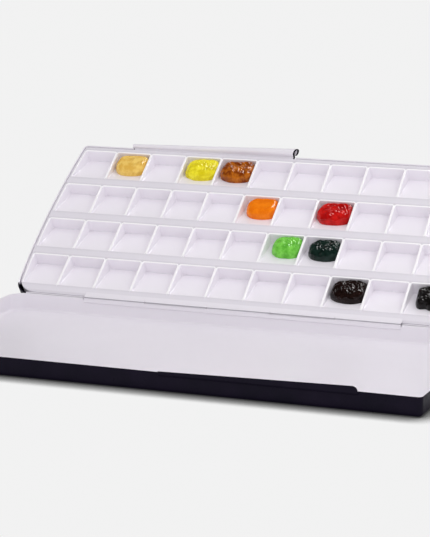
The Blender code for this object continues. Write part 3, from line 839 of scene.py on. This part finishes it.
def heap_verts(look, slope):
    """Return rings of vertices from the top to the rim, then the top itself, then the foot's ring."""
    # The seed comes from the heap's place, so that no two heaps fold alike.
    seed = look["row"] * 1.37 + look["column"] * 0.61
    width, length = look["size"]
    verts = []
    for r in range(1, HEAP_ACROSS + 1):
        rho = math.sin(math.pi / 2 * r / HEAP_ACROSS)
        for i in range(HEAP_AROUND):
            angle = 2 * math.pi * i / HEAP_AROUND
            reach = heap_outline(angle, seed, look["uneven"])
            u = math.cos(angle) * reach * rho * width / 2
            v = math.sin(angle) * reach * rho * length / 2
            w = HEAP_RIM
            if r < HEAP_ACROSS:
                w = max(heap_height(u, v, rho, seed, look["fold"]), HEAP_RIM)
            verts.append((u, v + (1 - rho) * HEAP_LEAN - w * math.tan(slope), w))
    rim = verts[-HEAP_AROUND:]
    top = heap_height(0, 0, 0, seed, look["fold"])
    verts.append((0.0, HEAP_LEAN - top * math.tan(slope), top))
    return verts + [(x, y, HEAP_FOOT) for x, y, _ in rim]


def heap_faces():
    """Return a fan at the top, quads down to the rim and the foot, and the underside."""
    rim, top = (HEAP_ACROSS - 1) * HEAP_AROUND, HEAP_ACROSS * HEAP_AROUND
    foot = top + 1
    around = [(i, (i + 1) % HEAP_AROUND) for i in range(HEAP_AROUND)]
    faces = [(top, i, j) for i, j in around]
    for start in range(0, rim, HEAP_AROUND):
        below = start + HEAP_AROUND
        faces += [(start + i, below + i, below + j, start + j) for i, j in around]
    faces += [(rim + i, foot + i, foot + j, rim + j) for i, j in around]
    faces.append(tuple(reversed(range(foot, foot + HEAP_AROUND))))
    return faces


def make_heap(node, look):
    slope = math.atan2(WELL_DEPTH - RAMP_STEP, RAMP_RUN)
    mats = [paint(node, look["dark"], look["light"])]
    obj = make_object(node.replace("paint", "heap"), heap_verts(look, slope), heap_faces(), mats,
                      place=heap_place(look, slope), sharp_deg=75)
    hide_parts(node)
    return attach(obj, "well_half")


# ================================================================ stage
def make_floor():
    """A pale floor that glows evenly, with a painted contact shadow that darkens it softly close to what
    stands on it.
    """
    bpy.ops.mesh.primitive_plane_add(size=FLOOR_SIZE, location=(0, 0, FLOOR_LEVEL))
    floor = bpy.context.object
    floor.name = "studio_floor"
    n = new_material("studio_floor")
    openness = n.add("ShaderNodeAmbientOcclusion", Distance=SHADOW_REACH, samples=8).outputs["AO"]
    glow = n.add("ShaderNodeEmission")
    greys = tuple((place, (grey, grey, grey)) for place, grey in FLOOR_SHADE)
    n.link(n.ramp(openness, greys), glow.inputs["Color"])
    n.link(glow.outputs["Emission"], n.tree.nodes["Material Output"].inputs["Surface"])
    floor.data.materials.append(n.owner)


def make_world():
    """Even white light, but a darker studio with one bright panel overhead in reflections."""
    world = bpy.data.worlds.new("studio")
    bpy.context.scene.world = world
    n = Nodes(world)
    even = n.tree.nodes["Background"]
    even.inputs["Color"].default_value = WORLD_COLOUR
    even.inputs["Strength"].default_value = WORLD_LEVEL
    towards = n.dot(n.add("ShaderNodeTexCoord").outputs["Generated"], Vector(PANEL_DIRECTION).normalized())
    studio = n.add("ShaderNodeBackground")
    level = n.span(towards, *PANEL_SPREAD, *PANEL_LEVELS, interpolation_type="SMOOTHSTEP")
    n.link(level, studio.inputs["Strength"])
    choose = n.add("ShaderNodeMixShader")
    n.link(n.add("ShaderNodeLightPath").outputs["Is Glossy Ray"], choose.inputs["Fac"])
    n.link(even.outputs["Background"], choose.inputs[1])
    n.link(studio.outputs["Background"], choose.inputs[2])
    n.link(choose.outputs["Shader"], n.tree.nodes["World Output"].inputs["Surface"])


def make_softboxes():
    for name, watts, place in SOFTBOXES:
        data = bpy.data.lights.new(name, "AREA")
        data.size = SOFTBOX_SIZE
        data.energy = watts
        light = bpy.data.objects.new(name, data)
        bpy.context.scene.collection.objects.link(light)
        light.location = place
        light.visible_glossy = light.visible_camera = False
        light.rotation_euler = (Vector(SOFTBOX_AIM) - light.location).to_track_quat("-Z", "Y").to_euler()


def make_camera():
    data = bpy.data.cameras.new("camera")
    data.sensor_width = CAMERA_SENSOR
    data.lens = CAMERA_LENS
    camera = bpy.data.objects.new("camera", data)
    bpy.context.scene.collection.objects.link(camera)
    yaw, pitch, roll = map(math.radians, (CAMERA_YAW, CAMERA_PITCH, CAMERA_ROLL))
    turn = Matrix.Rotation(yaw, 4, "Z") @ Matrix.Rotation(math.pi / 2 - pitch, 4, "X")
    camera.matrix_world = Matrix.Translation(CAMERA_PLACE) @ turn @ Matrix.Rotation(roll, 4, "Z")
    bpy.context.scene.camera = camera
    bpy.context.scene.view_settings.view_transform = "Standard"


def main():
    enamels = (black_enamel(), white_enamel())
    make_shell("mixing_shell", "mixing_tray", "mixing_half", MIXING_SHEET, MIXING_BEND,
               1, LIP_SPAN, enamels, NEAR)
    well_tray_axes = FAR @ Matrix.Translation((0, TRAY_DEPTH / 2 + WALL_TO_AXIS, -AXIS.z))
    make_shell("well_shell", "well_tray", "well_half", WELL_SHEET, WELL_BEND,
               -1, ROLL_SPAN, enamels, well_tray_axes)
    make_mixing_lip(enamels)
    make_rolled_lip(enamels)
    # The insert: plain plastic, the ledges with painted shade, and the tops of the walls with a painted
    # highlight.
    make_insert((white_plastic("white_plastic", WELL_WHITES), ledge_plastic_with_painted_shade(),
                 white_plastic("white_plastic_edge_highlight", EDGE_HIGHLIGHT_WHITES)))
    for node, look in HEAPS.items():
        make_heap(node, look)
    # The hinge leaves get white enamel with a painted shadow line along the barrel.
    for name in ("mixing", "well"):
        leaf = frame["nodes"][f"{name}_leaf"]
        leaf.data.materials[0] = barrel_enamel_with_gap_shadow(f"{name}_barrel", leaf)
    frame["nodes"]["hinge_pin"].data.materials[0] = steel_wire()
    make_floor()
    make_world()
    make_softboxes()
    make_camera()


main()
